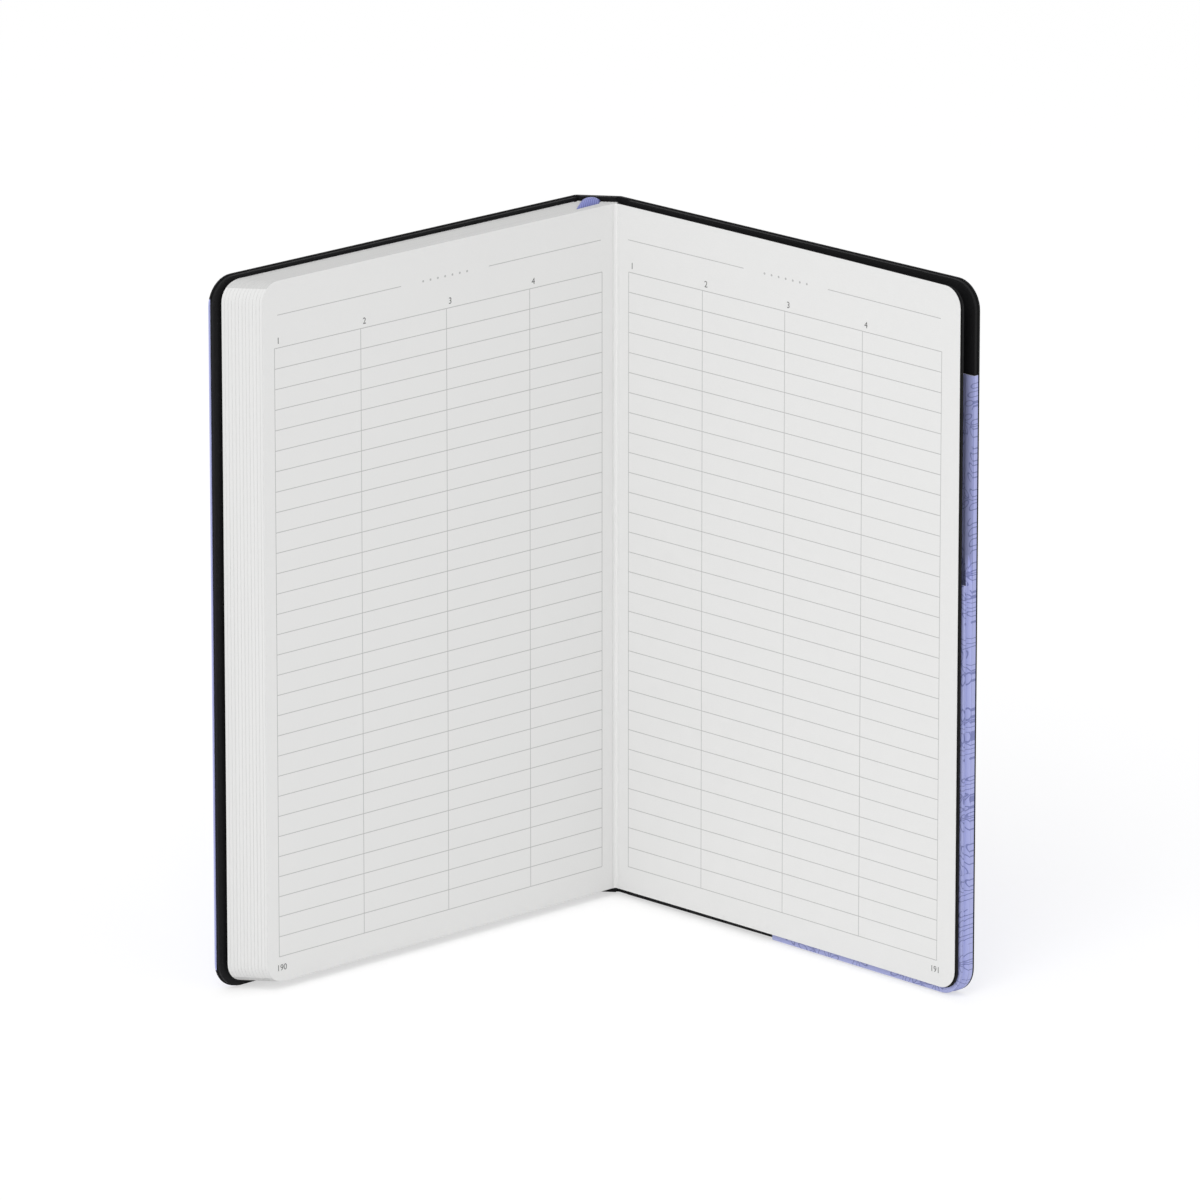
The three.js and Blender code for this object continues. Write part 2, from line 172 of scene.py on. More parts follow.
def mix(tree, mask, first, second):
    node = tree.nodes.new("ShaderNodeMix")
    node.data_type = "RGBA"
    link(tree, mask, node.inputs["Factor"])
    for value, name in ((first, "A"), (second, "B")):
        socket = [s for s in node.inputs if s.name == name and s.type == "RGBA"][0]
        if isinstance(value, tuple):
            socket.default_value = (*value, 1)
        else:
            tree.links.new(value, socket)
    return [s for s in node.outputs if s.type == "RGBA"][0]


def new_group(name, inputs, outputs):
    group = bpy.data.node_groups.new(name, "ShaderNodeTree")
    for socket_name, kind, value in inputs:
        socket = group.interface.new_socket(socket_name, in_out="INPUT", socket_type=kind)
        socket.default_value = value
    for socket_name, kind in outputs:
        group.interface.new_socket(socket_name, in_out="OUTPUT", socket_type=kind)
    given = group.nodes.new("NodeGroupInput").outputs
    out = group.nodes.new("NodeGroupOutput").inputs
    return group, given, out


def use_group(tree, group, **values):
    node = tree.nodes.new("ShaderNodeGroup")
    node.node_tree = group
    for name, value in values.items():
        link(tree, value, node.inputs[name])
    return node.outputs


# %% [markdown]
# Paper is never smooth. Short fibres make it faintly uneven to look at and to touch, and the
# same unevenness at another size suits boards, card and cloth. So it is one node group with
# the size and the depth of the fibre as inputs, used by every finish in the book.

# %% Fibre group
FLOAT = "NodeSocketFloat"
VECTOR = "NodeSocketVector"
PAPER_FIBRE = (0.35, 0.06)


def make_fibre():
    group, given, out = new_group(
        "fibre",
        [("Size", FLOAT, 0.4), ("Depth", FLOAT, 0.02)],
        [("Shade", FLOAT), ("Normal", VECTOR)],
    )
    place = group.nodes.new("ShaderNodeTexCoord")
    noise = group.nodes.new("ShaderNodeTexNoise")
    group.links.new(place.outputs["Object"], noise.inputs["Vector"])
    group.links.new(maths(group, "DIVIDE", 1 / MM, given["Size"]), noise.inputs["Scale"])
    noise.inputs["Detail"].default_value = 4
    bump = group.nodes.new("ShaderNodeBump")
    bump.inputs["Distance"].default_value = MM
    group.links.new(noise.outputs["Fac"], bump.inputs["Height"])
    group.links.new(given["Depth"], bump.inputs["Strength"])
    group.links.new(noise.outputs["Fac"], out["Shade"])
    group.links.new(bump.outputs[0], out["Normal"])
    return group


fibre = make_fibre()


def start_material(name, rough, size, depth):
    """A material with its fibre in place, ready for a colour."""
    material = bpy.data.materials.new(name)
    material.use_nodes = True
    tree = material.node_tree
    shader = tree.nodes["Principled BSDF"]
    shader.inputs["Roughness"].default_value = rough
    feel = use_group(tree, fibre, Size=size, Depth=depth)
    tree.links.new(feel["Normal"], shader.inputs["Normal"])
    return material, tree, shader, feel["Shade"]


def mottled(tree, shade, colour, amount):
    """A colour that drifts a little with the fibre."""
    darker = tuple(c * (1 - amount) for c in colour)
    return mix(tree, shade, darker, colour)


def plain_material(name, colour, rough, size, depth, amount):
    material, tree, shader, shade = start_material(name, rough, size, depth)
    tree.links.new(mottled(tree, shade, colour, amount), shader.inputs["Base Color"])
    return material


# %% [markdown]
# The ruled pages hold a table of thirty rows and four columns. Above it stand two short rules
# with a row of dots between them. Drawing all of it in the material keeps the lines hair-thin
# and sharp at any distance.

# %% Ruled pages
PAPER_WHITE = (0.80, 0.80, 0.795)
PAPER_DRIFT = 0.03
INK = (0.30, 0.30, 0.30)
PRINT_STRENGTH = 0.62
LINE = 0.2
TABLE_TOP = 162.3
ROW = 5.13
ROWS = 30
RULE_HEIGHT = 170.5
DOT_HALF_STEP = 1.2
DOT_RADIUS = 0.3
DOTS_REACH = 9


def band(tree, value, centre, width):
    """1 where a value lies within half a width of a centre."""
    return maths(tree, "COMPARE", value, centre, width / 2)


def between(tree, value, low, high):
    return maths(tree, "MULTIPLY", maths(tree, "GREATER_THAN", value, low),
                 maths(tree, "LESS_THAN", value, high))


def make_rows():
    """The rows of the table, which both pages share."""
    group, given, out = new_group(
        "table rows",
        [("Along", FLOAT, 0), ("High", FLOAT, 0), ("From", FLOAT, 4), ("To", FLOAT, 110)],
        [("Mask", FLOAT)],
    )
    down = maths(group, "SUBTRACT", TABLE_TOP, given["High"])
    nearest_row = maths(group, "SNAP", maths(group, "ADD", down, ROW / 2), ROW)
    on_row = band(group, maths(group, "SUBTRACT", down, nearest_row), 0, LINE)
    inside = between(group, down, -LINE, ROWS * ROW + LINE)
    across = between(group, given["Along"], given["From"], given["To"])
    group.links.new(maths(group, "MULTIPLY", on_row, maths(group, "MULTIPLY", inside, across)),
                    out["Mask"])
    return group


table_rows = make_rows()


def ruled_page(name, origin, heading, columns, rules):
    material, tree, shader, shade = start_material(name, 0.75, *PAPER_FIBRE)
    along, _, high = sheet_coordinates(tree, origin, heading)
    mask = use_group(tree, table_rows, Along=along, High=high,
                     From=columns[0], To=columns[-1])["Mask"]
    in_table = between(tree, high, TABLE_TOP - ROWS * ROW, TABLE_TOP)
    for column in columns:
        upright = maths(tree, "MULTIPLY", band(tree, along, column, LINE), in_table)
        mask = maths(tree, "MAXIMUM", mask, upright)
    on_rule = band(tree, high, RULE_HEIGHT, LINE)
    for low, far in rules:
        rule = maths(tree, "MULTIPLY", on_rule, between(tree, along, low, far))
        mask = maths(tree, "MAXIMUM", mask, rule)
    middle = (rules[0][1] + rules[1][0]) / 2
    step = maths(tree, "PINGPONG", maths(tree, "SUBTRACT", along, middle), DOT_HALF_STEP)
    dot = maths(tree, "POWER", step, 2)
    rise = maths(tree, "POWER", maths(tree, "SUBTRACT", high, RULE_HEIGHT), 2)
    dots = maths(tree, "LESS_THAN", maths(tree, "ADD", dot, rise), DOT_RADIUS ** 2)
    in_reach = between(tree, along, middle - DOTS_REACH, middle + DOTS_REACH)
    mask = maths(tree, "MAXIMUM", mask, maths(tree, "MULTIPLY", dots, in_reach))
    mask = maths(tree, "MULTIPLY", mask, PRINT_STRENGTH)
    paper = mottled(tree, shade, PAPER_WHITE, PAPER_DRIFT)
    tree.links.new(mix(tree, mask, paper, INK), shader.inputs["Base Color"])
    return material


LEFT_COLUMNS = (4.6, 28.8, 56.3, 84.3, 112.1)
RIGHT_COLUMNS = (4.3, 29.6, 57.7, 84.1, 110.9)
LEFT_RULES = ((5.0, 42.3), (71.1, 111.1))
RIGHT_RULES = ((4.1, 43.6), (72.3, 110.5))
left_ruled = ruled_page("ruled paper left", FACING_START, FRONT_HEADING, LEFT_COLUMNS, LEFT_RULES)
right_ruled = ruled_page("ruled paper right", GUTTER, LAST_LEAF_HEADING, RIGHT_COLUMNS, RIGHT_RULES)
print("ruled pages:", left_ruled.name, right_ruled.name)

# %% [markdown]
# Seen from its edge, the block is nearly a hundred sheets, each catching the light a little
# differently. Noise that is stretched along the sheets and fine across them gives those streaks at
# the fore-edge, the head and the tail alike, because it follows the pages. The head and the tail, the
# faces that look up or down, are painted in darker tones than the fore-edge: painted shade.

# %% Page edges
LOOKS_UP = 0.6
STREAK_SCALES = (0.01, 3.2, 0.006)
STREAK_CONTRAST = 2.0
FORE_EDGE_TONES = ((0.73, 0.73, 0.725), (0.77, 0.77, 0.765))
# Painted shade: the head and the tail of the block get darker tones than the fore-edge.
SHADED_HEAD_TONES = ((0.57, 0.57, 0.565), (0.64, 0.64, 0.635))


def faces_up(tree, down_too=True):
    """1 on faces that look up and, unless told otherwise, on those that look down."""
    split = tree.nodes.new("ShaderNodeSeparateXYZ")
    tree.links.new(tree.nodes.new("ShaderNodeNewGeometry").outputs["True Normal"], split.inputs[0])
    height = maths(tree, "ABSOLUTE", split.outputs[2]) if down_too else split.outputs[2]
    return maths(tree, "GREATER_THAN", height, LOOKS_UP)


def streaked_paper():
    material, tree, shader, _ = start_material("page edges", 0.85, *PAPER_FIBRE)
    places = sheet_coordinates(tree, FACING_START, FRONT_HEADING)
    combine = tree.nodes.new("ShaderNodeCombineXYZ")
    for place, scale, socket in zip(places, STREAK_SCALES, combine.inputs):
        link(tree, maths(tree, "MULTIPLY", place, scale), socket)
    noise = tree.nodes.new("ShaderNodeTexNoise")
    noise.inputs["Scale"].default_value = 1.0
    noise.inputs["Detail"].default_value = 5
    tree.links.new(combine.outputs[0], noise.inputs["Vector"])
    sharp = maths(tree, "MULTIPLY_ADD", noise.outputs["Fac"], STREAK_CONTRAST,
                  (1 - STREAK_CONTRAST) / 2)
    mask = tree.nodes.new("ShaderNodeClamp")
    tree.links.new(sharp, mask.inputs[0])
    fore = mix(tree, mask.outputs[0], *FORE_EDGE_TONES)
    # Painted shade on the faces that look up or down.
    shaded_head = mix(tree, mask.outputs[0], *SHADED_HEAD_TONES)
    tree.links.new(mix(tree, faces_up(tree), fore, shaded_head), shader.inputs["Base Color"])
    return material


edge_paper = streaked_paper()

# %% [markdown]
# The covering and the pocket are printed card in a soft blue violet, with thin darker line
# drawings scattered over it. The print here is a plain leaf sprig: a stem with leaves in
# pairs. Folding the pattern's space over the stem draws both sides at once, and each cell
# of a grid turns its sprig to its own angle.

# %% Printed card
VIOLET = (0.43, 0.46, 0.79)
VIOLET_INK = (0.16, 0.18, 0.42)
CARD_EDGE = (0.62, 0.62, 0.66)
SPRIG_STRENGTH = 0.8
SPRIG_LINE = 0.22
COVER_CELL = 17
POCKET_CELL = 9
CELL_TURNS = (2.4, 1.7)
STEM_REACH = 5.4
LEAF_REACH = 5.2
LEAF_STEP = 2.6
LEAF_OUT = 1.5
LEAF_LENGTH = 1.5
LEAF_WIDTH = 0.62
LEAF_LINE = 0.16
DIAGONAL = 0.707


def make_sprig():
    """A scatter of leaf sprigs over a flat pattern in millimetres."""
    group, given, out = new_group(
        "leaf sprigs",
        [("Across", FLOAT, 0), ("Up", FLOAT, 0), ("Cell", FLOAT, COVER_CELL)],
        [("Mask", FLOAT)],
    )

    def step(operation, *values):
        return maths(group, operation, *values)

    columns = step("DIVIDE", given["Across"], given["Cell"])
    cell_x = step("FLOOR", columns)
    shift = step("MULTIPLY", step("MODULO", cell_x, 2), 0.5)
    rows = step("ADD", step("DIVIDE", given["Up"], given["Cell"]), shift)
    cell_y = step("FLOOR", rows)
    x = step("MULTIPLY", step("SUBTRACT", step("SUBTRACT", columns, cell_x), 0.5), given["Cell"])
    y = step("MULTIPLY", step("SUBTRACT", step("SUBTRACT", rows, cell_y), 0.5), given["Cell"])
    turn = step("ADD", step("MULTIPLY", cell_x, CELL_TURNS[0]),
                step("MULTIPLY", cell_y, CELL_TURNS[1]))
    cos, sin = step("COSINE", turn), step("SINE", turn)
    aside = step("ABSOLUTE", step("SUBTRACT", step("MULTIPLY", x, cos), step("MULTIPLY", y, sin)))
    upward = step("ADD", step("MULTIPLY", x, sin), step("MULTIPLY", y, cos))
    on_stem = step("MULTIPLY", step("COMPARE", aside, 0, SPRIG_LINE / 2),
                   step("COMPARE", upward, 0, STEM_REACH))
    out_by = step("SUBTRACT", aside, LEAF_OUT)
    up_by = step("SUBTRACT", step("FLOORED_MODULO", upward, LEAF_STEP), LEAF_STEP / 2)
    a = step("MULTIPLY", step("ADD", out_by, up_by), DIAGONAL)
    b = step("MULTIPLY", step("SUBTRACT", out_by, up_by), DIAGONAL)
    size = step("SQRT", step("ADD", step("POWER", step("DIVIDE", a, LEAF_LENGTH), 2),
                             step("POWER", step("DIVIDE", b, LEAF_WIDTH), 2)))
    outline = step("MULTIPLY", step("COMPARE", size, 1, LEAF_LINE),
                   step("COMPARE", upward, 0, LEAF_REACH))
    group.links.new(step("MAXIMUM", on_stem, outline), out["Mask"])
    return group


sprigs = make_sprig()


def printed_card(name, cell, sheet=None):
    """Card printed with sprigs, over a sheet's frame or over the piece's own coordinates."""
    material, tree, shader, shade = start_material(name, 0.55, 0.5, 0.12)
    if sheet:
        across, _, high = sheet_coordinates(tree, *sheet)
    else:
        own = own_coordinates(tree)
        across = maths(tree, "MULTIPLY", own[0], 1 / MM)
        high = maths(tree, "MULTIPLY", own[1], 1 / MM)
    mask = use_group(tree, sprigs, Across=across, Up=high, Cell=cell)["Mask"]
    ground = mottled(tree, shade, VIOLET, 0.08)
    printed = mix(tree, maths(tree, "MULTIPLY", mask, SPRIG_STRENGTH), ground, VIOLET_INK)
    cut_edge = faces_up(tree, down_too=False)
    tree.links.new(mix(tree, cut_edge, printed, CARD_EDGE), shader.inputs["Base Color"])
    return material


cover_print = printed_card("printed covering", COVER_CELL)
pocket_print = printed_card("printed pocket", POCKET_CELL, (on_back(0, 0), BACK_HEADING))
print("printed:", cover_print.name, pocket_print.name)

# %% [markdown]
# The other finishes are plain: black board and black endpaper with a fine grain, the open mull and
# linen thread of the binding, and a ribbon with woven ribs, whose grooves and crests are painted
# darker and lighter as painted shade and highlight. After the name and the colour come the roughness,
# the size and depth of the fibre, and how far the colour drifts.

# %% Plain finishes
BLACK = (0.008, 0.008, 0.009)
BLACK_SPECULAR = 0.2
# Painted highlight: the paper at the gutter fold is a little lighter than the pages.
FOLD_HIGHLIGHT_WHITE = (0.82, 0.82, 0.815)
RIB = 0.28
# Painted shade and highlight: the dark tone fills the rib grooves, the light tone the crests.
RIB_SHADE_TONES = ((0.11, 0.125, 0.36), (0.25, 0.28, 0.62))
black_board = plain_material("black board", BLACK, 0.6, 0.5, 0.25, 0.3)
black_paper = plain_material("black endpaper", BLACK, 0.7, 0.3, 0.15, 0.3)
for material in (black_board, black_paper):
    shader = material.node_tree.nodes["Principled BSDF"]
    shader.inputs["Specular IOR Level"].default_value = BLACK_SPECULAR
mull = plain_material("mull", (0.62, 0.6, 0.54), 0.9, 0.6, 0.5, 0.35)
thread = plain_material("linen thread", (0.86, 0.84, 0.78), 0.8, 0.15, 0.3, 0.2)
inner_paper = plain_material("inner paper", PAPER_WHITE, 0.8, *PAPER_FIBRE, PAPER_DRIFT)
# The fold paper is lighter than the pages: painted highlight.
fold_highlight_paper = plain_material("paper at the fold with painted highlight", FOLD_HIGHLIGHT_WHITE, 0.8, *PAPER_FIBRE, PAPER_DRIFT)


def ribbed_ribbon():
    """Ribs that run along the ribbon, from its own coordinates across the weave, painted dark in the
    grooves and light on the crests: painted shade and highlight.
    """
    material, tree, shader, _ = start_material("ribbed ribbon", 0.5, 0.2, 0.1)
    rib = maths(tree, "PINGPONG", own_coordinates(tree)[0], RIB)
    # The tone follows the rib's height: painted shade in the grooves, painted highlight on the
    # crests.
    height = maths(tree, "DIVIDE", rib, RIB)
    tree.links.new(mix(tree, height, *RIB_SHADE_TONES), shader.inputs["Base Color"])
    return material


ribbon_cloth = ribbed_ribbon()
FINISHES = {
    "gathering_": edge_paper, "facing_leaf": left_ruled, "last_leaf": right_ruled,
    "first_leaf": inner_paper, "spine_lining": mull, "sewing_": thread, "pocket_": pocket_print,
    "front_board": black_board, "back_board": black_board, "spine_inlay": black_board,
    "front_pastedown": black_paper, "back_pastedown": black_paper,
    "front_flyleaf": black_paper, "back_flyleaf": black_paper,
}
for name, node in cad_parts.items():
    for start, material in FINISHES.items():
        if name.startswith(start):
            node.data.materials.clear()
            node.data.materials.append(material)
print("finished nodes:", sum(len(n.data.materials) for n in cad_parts.values()))

# %% [markdown]
# The covering is one sheet on the real book. It is cut flat, with its corners rounded, and
# then folded round the spine. It is made the same way here: a flat grid, corners bevelled,
# extra cuts where it bends, and then each point is carried onto the folded route. It comes in
# three pieces that meet where nothing bends, so that each piece crosses a single hinge.

# %% Route of the covering
COVERING_THICK = 0.45
COVERING_HALF = 0.225
OUTER_RADIUS = 1.2


def corner_of(first, second, third, radius, steps=8):
    """The round that replaces the corner at the second of three points."""
    a, b, c = Vector(first), Vector(second), Vector(third)
    back, ahead = (a - b).normalized(), (c - b).normalized()
    half = back.angle(ahead) / 2
    centre = b + (back + ahead).normalized() * radius / math.sin(half)
    begin = b + back * radius / math.tan(half) - centre
    end = b + ahead * radius / math.tan(half) - centre
    sweep = begin.angle_signed(end)
    return [centre + begin @ Matrix.Rotation(sweep * k / steps, 2) for k in range(steps + 1)]


def meet(p, heading_p, q, heading_q):
    """Where two lines cross."""
    u = Vector((math.cos(math.radians(heading_p)), math.sin(math.radians(heading_p))))
    v = Vector((math.cos(math.radians(heading_q)), math.sin(math.radians(heading_q))))
    gap = Vector(q) - Vector(p)
    step = (gap.x * v.y - gap.y * v.x) / (u.x * v.y - u.y * v.x)
    return Vector(p) + u * step


def cover_route(deep, radius):
    """The plan of a sheet that runs round the book, this deep inside its middle line."""
    front_end, back_end = Vector(on_front(COVER_WIDTH, deep)), Vector(on_back(COVER_WIDTH, -deep))
    spine_mid = on_spine(0, -deep)
    left = meet(front_end, FRONT_HEADING, spine_mid, SPINE_TILT)
    right = meet(back_end, BACK_HEADING, spine_mid, SPINE_TILT)
    return [front_end, *corner_of(front_end, left, right, radius),
            *corner_of(left, right, back_end, radius), back_end]


def lengths(route):
    total, found = 0, [0]
    for a, b in zip(route, route[1:]):
        total += (b - a).length
        found.append(total)
    return found


OUTER = cover_route(-COVERING_HALF, OUTER_RADIUS)
OUTER_LENGTHS = lengths(OUTER)
print("covering is", round(OUTER_LENGTHS[-1], 2), "mm round")


def length_at(route, place):
    """How far along the route the nearest point to a place lies."""
    best = (1e9, 0)
    for a, b, before in zip(route, route[1:], lengths(route)):
        edge = b - a
        part = min(max((Vector(place) - a).dot(edge) / edge.length_squared, 0), 1)
        best = min(best, ((a + edge * part - Vector(place)).length, before + part * edge.length))
    return best[1]


def place_on(route, distance):
    """The point and the inward direction at this distance along a route."""
    before = lengths(route)
    k = max(i for i in range(len(route) - 1) if before[i] <= distance + 1e-9)
    edge = (route[k + 1] - route[k]).normalized()
    return route[k] + edge * (distance - before[k]), Vector((edge.y, -edge.x))


# %% [markdown]
# Now the sheets are cut and folded. The outside of the covering is printed and its inside is
# black, but at the fore-edge of the front cover the print goes a little way round the edge.
# The lining is black paper that bridges each hinge on the inside.

# %% Fold flat sheets into the covering and its lining
TURNED_IN = 0.25
NEAR = 0.01
STRIP_CENTRE = 1.9
LINING_DEEP = 0.245
LINING_THICK = 0.4
INNER_RADIUS = 0.75
LINING_ON_FRONT = 0.9
LINING_ON_SPINE = 4.6
LINING_ON_BACK = 3.75


def add_piece(name, bm, *finishes):
    """The finished mesh as an object at the origin, with its materials."""
    mesh = bpy.data.meshes.new(name)
    bm.to_mesh(mesh)
    bm.free()
    piece = bpy.data.objects.new(name, mesh)
    bpy.context.collection.objects.link(piece)
    for finish in finishes:
        mesh.materials.append(finish)
    return piece


def folded_sheet(name, route, start, end, thickness, round_start=False, round_end=False):
    """A flat sheet from start to end, cut, rounded and folded along the route."""
    bm = bmesh.new()
    bmesh.ops.create_grid(bm, x_segments=1, y_segments=1, size=0.5)
    bmesh.ops.translate(bm, verts=bm.verts, vec=(0.5, 0.5, 0))
    bmesh.ops.scale(bm, verts=bm.verts, vec=(end - start, COVER_HEIGHT, 1))
    bmesh.ops.translate(bm, verts=bm.verts, vec=(start, 0, 0))
    wanted = [v for v in bm.verts if (round_start and v.co.x < start + NEAR)
              or (round_end and v.co.x > end - NEAR)]
    if wanted:
        bmesh.ops.bevel(bm, geom=wanted, offset=COVER_CORNER, offset_type="OFFSET",
                        affect="VERTICES", segments=10, profile=0.5, material=-1)
    cuts = [d for d in lengths(route) if start + NEAR < d < end - NEAR]
    cuts += [start + TURNED_IN] if round_start else []
    for cut in cuts:
        bmesh.ops.bisect_plane(bm, geom=[*bm.verts, *bm.edges, *bm.faces], dist=1e-6,
                               plane_co=(cut, 0, 0), plane_no=(1, 0, 0))
    front = list(bm.faces)
    for v in bm.verts:
        v.co.z = 0
    copied = bmesh.ops.extrude_face_region(bm, geom=front)
    inner = [v for v in copied["geom"] if isinstance(v, bmesh.types.BMVert)]
    bmesh.ops.translate(bm, verts=inner, vec=(0, 0, thickness))
    bm.normal_update()
    for face in bm.faces:
        outside = all(v.co.z == 0 for v in face.verts)
        left_edge = round_start and all(v.co.x < start + TURNED_IN + NEAR for v in face.verts)
        face.material_index = 0 if outside or left_edge else 1
    layer = bm.loops.layers.uv.new("cloth")
    for face in bm.faces:
        for loop in face.loops:
            loop[layer].uv = (loop.vert.co.x * MM, loop.vert.co.y * MM)
    for v in bm.verts:
        spot, inward = place_on(route, v.co.x)
        flat = spot + inward * v.co.z
        v.co = (flat.x * MM, flat.y * MM, v.co.y * MM)
    bmesh.ops.recalc_face_normals(bm, faces=bm.faces)
    print(name, "from", round(start, 1), "to", round(end, 1), "mm,", len(bm.faces), "faces")
    return add_piece(name, bm)


SPINE_MIDDLE = length_at(OUTER, on_spine(0, COVERING_HALF))
STRIP_MIDDLE = length_at(OUTER, on_back(STRIP_CENTRE, COVERING_HALF))
covering_front = folded_sheet("covering_front", OUTER, 0, SPINE_MIDDLE, COVERING_THICK,
                              round_start=True)
covering_joint = folded_sheet("covering_joint", OUTER, SPINE_MIDDLE, STRIP_MIDDLE, COVERING_THICK)
covering_back = folded_sheet("covering_back", OUTER, STRIP_MIDDLE, OUTER_LENGTHS[-1],
                             COVERING_THICK, round_end=True)
INNER = cover_route(LINING_DEEP, INNER_RADIUS)
front_mark, left_mark, right_mark, strip_mark, back_mark = [length_at(INNER, place) for place in (
    on_front(LINING_ON_FRONT, LINING_DEEP), on_spine(-LINING_ON_SPINE, -LINING_DEEP),
    on_spine(LINING_ON_SPINE, -LINING_DEEP), on_back(STRIP_CENTRE, -LINING_DEEP),
    on_back(LINING_ON_BACK, -LINING_DEEP))]
lining_front = folded_sheet("lining_front", INNER, front_mark, left_mark, LINING_THICK)
lining_joint = folded_sheet("lining_joint", INNER, right_mark, strip_mark, LINING_THICK)
lining_back = folded_sheet("lining_back", INNER, strip_mark, back_mark, LINING_THICK)

for piece in (covering_front, covering_joint, covering_back):
    piece.data.materials.append(cover_print)
    piece.data.materials.append(black_board)
for piece in (lining_front, lining_joint, lining_back):
    piece.data.materials.append(black_paper)
    piece.data.materials.append(black_paper)
# Each hinge: the two bodies, then where the bend starts and where it ends.
HINGES = {
    "front": ("front_cover", "block", on_front(1.1, 0), on_spine(-4.5, 0)),
    "joint": ("block", "back_strip", on_spine(4.2, 0), on_back(1.5, 0)),
    "back": ("back_strip", "back_cover", on_back(2.4, 0), on_back(4.2, 0)),
}
for piece in (covering_front, covering_joint, covering_back, lining_front, lining_joint, lining_back):
    first, second, start, end = HINGES[piece.name.split("_")[1]]
    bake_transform(piece)
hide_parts("front_cover_skin", "spine_skin")
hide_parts("back_cover_skin")
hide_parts("back_hinge_strip")

# %% [markdown]
# The pocket's sides are pleated so that it can open. Each is one strip of card with a crease
# down its middle. It bends between the cover it is glued to and the front panel, so it is a
# piece of its own here. A flat grid, three points wide, is carried down the edge of the cover,
# and at the fore-edge it goes on round the rounded corner. Above the front panel, where
# nothing pulls it open, the strip lies flat on the back sheet.

# %% Pocket gussets
# Heights and places on the back cover, depths of the two sheets, and the strip laid flat.
POCKET_START = 55
POCKET_TAIL = 0.25
POCKET_FRONT_HEIGHT = 105
POCKET_BACK_HEIGHT = 157
POCKET_OUTER = 1.625
POCKET_INNER = 2.375
POCKET_GAPE = 1.6
PLEAT = 0.9
CARD = 0.14
LAID_DEEP = 1.75
LAID_WIDTH = 2.5
LAID_ABOVE = 7
FOOT = POCKET_TAIL + COVER_CORNER
SPINE_STATIONS = [(POCKET_FRONT_HEIGHT, 0, 1), (FOOT, 0, 1)]
FORE_STATIONS = [(POCKET_BACK_HEIGHT, 0, 0), (POCKET_FRONT_HEIGHT + LAID_ABOVE, 0, 0),
                 (POCKET_FRONT_HEIGHT, 0, 1)]
CORNER_STEPS = 8
for step in range(CORNER_STEPS + 1):
    turn = math.radians(90 * step / CORNER_STEPS)
    FORE_STATIONS.append((FOOT - COVER_CORNER * math.sin(turn), turn, 1))


def thicken(bm, thickness):
    bmesh.ops.recalc_face_normals(bm, faces=bm.faces)
    bmesh.ops.solidify(bm, geom=bm.faces, thickness=thickness * MM)
    bmesh.ops.recalc_face_normals(bm, faces=bm.faces)


def gusset(name, edge, inwards, inner, stations, node):
    """A creased strip. A station is a height, a turn round the corner, and 0 laid to 1 open."""
    bm = bmesh.new()
    last = len(stations) - 1
    bmesh.ops.create_grid(bm, x_segments=2, y_segments=last, size=1)
    slope = POCKET_GAPE / (COVER_WIDTH - POCKET_START)
    for v in bm.verts:
        side = v.co.x
        high, turn, spread = stations[round((1 - v.co.y) / 2 * last)]
        along = edge + inwards * COVER_CORNER * (1 - math.cos(turn))
        near = inner - slope * abs(edge - along)
        middle = (POCKET_OUTER + near) / 2
        deep = LAID_DEEP + spread * (middle + side * (near - middle) - LAID_DEEP)
        laid = LAID_WIDTH * (1 + side) / 2
        fold = laid + spread * (PLEAT * (1 - abs(side)) * math.cos(turn) - laid)
        flat = on_back(along + inwards * fold * math.cos(turn), -deep)
        v.co = point(flat, high + fold * math.sin(turn))
    thicken(bm, CARD)
    piece = add_piece(name, bm, pocket_print)
    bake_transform(piece)
    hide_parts(node)
    print(name, len(piece.data.polygons), "faces")


gusset("gusset_fore", COVER_WIDTH, -1, POCKET_INNER + POCKET_GAPE,
       FORE_STATIONS, "pocket_fore_gusset")
gusset("gusset_spine", POCKET_START, 1, POCKET_INNER, SPINE_STATIONS,
       "pocket_spine_gusset")

# %% [markdown]
# The ribbon is glued behind the spine lining. It comes over the head of the block in a low
# arch and dips between the pages. The pages lie askew to the spine, so one edge of the ribbon
# reaches them sooner than the other. A flat grid is carried strand by strand onto that loop.

# %% Ribbon
RIBBON_DEEP = 1.3
RIBBON_GLUED = 24
RIBBON_FOOT = PAGE_HEAD + 0.05
LOOP_LEFT = ((-3.75, -RIBBON_DEEP), (-4.0, -10.5))
LOOP_RIGHT = ((0.7, -RIBBON_DEEP), (0.7, -4.1))
LOOP_RISE = 1.4
LOOP_EDGE_RISE = 0.15
LOOP_SHOULDER = 0.7
GLUED_HALF = 2.9
GLUED_SPREAD = 4
TAIL_SHARE = 0.2
RIBBON_THICK = 0.2


def between_points(a, b, share):
    return (a[0] + (b[0] - a[0]) * share, a[1] + (b[1] - a[1]) * share)


def ribbon_place(side, run):
    """A point of the ribbon: side from -1 to 1 across it, run from 0 to 1 along it."""
    start = between_points(LOOP_LEFT[0], LOOP_RIGHT[0], (side + 1) / 2)
    if run < TAIL_SHARE:
        down = 1 - run / TAIL_SHARE
        middle = (LOOP_LEFT[0][0] + LOOP_RIGHT[0][0]) / 2
        glued = (middle + side * GLUED_HALF, -RIBBON_DEEP)
        flat = between_points(start, glued, min(1, GLUED_SPREAD * down))
        return point(on_spine(*flat), RIBBON_FOOT - RIBBON_GLUED * down)
    part = (run - TAIL_SHARE) / (1 - TAIL_SHARE)
    end = between_points(LOOP_LEFT[1], LOOP_RIGHT[1], (side + 1) / 2)
    flat = between_points(start, end, (1 - math.cos(math.pi * part)) / 2)
    crown = max(0, 1 - side * side) ** LOOP_SHOULDER
    arch = LOOP_EDGE_RISE + (LOOP_RISE - LOOP_EDGE_RISE) * crown
    return point(on_spine(*flat), RIBBON_FOOT + arch * math.sin(math.pi * part))


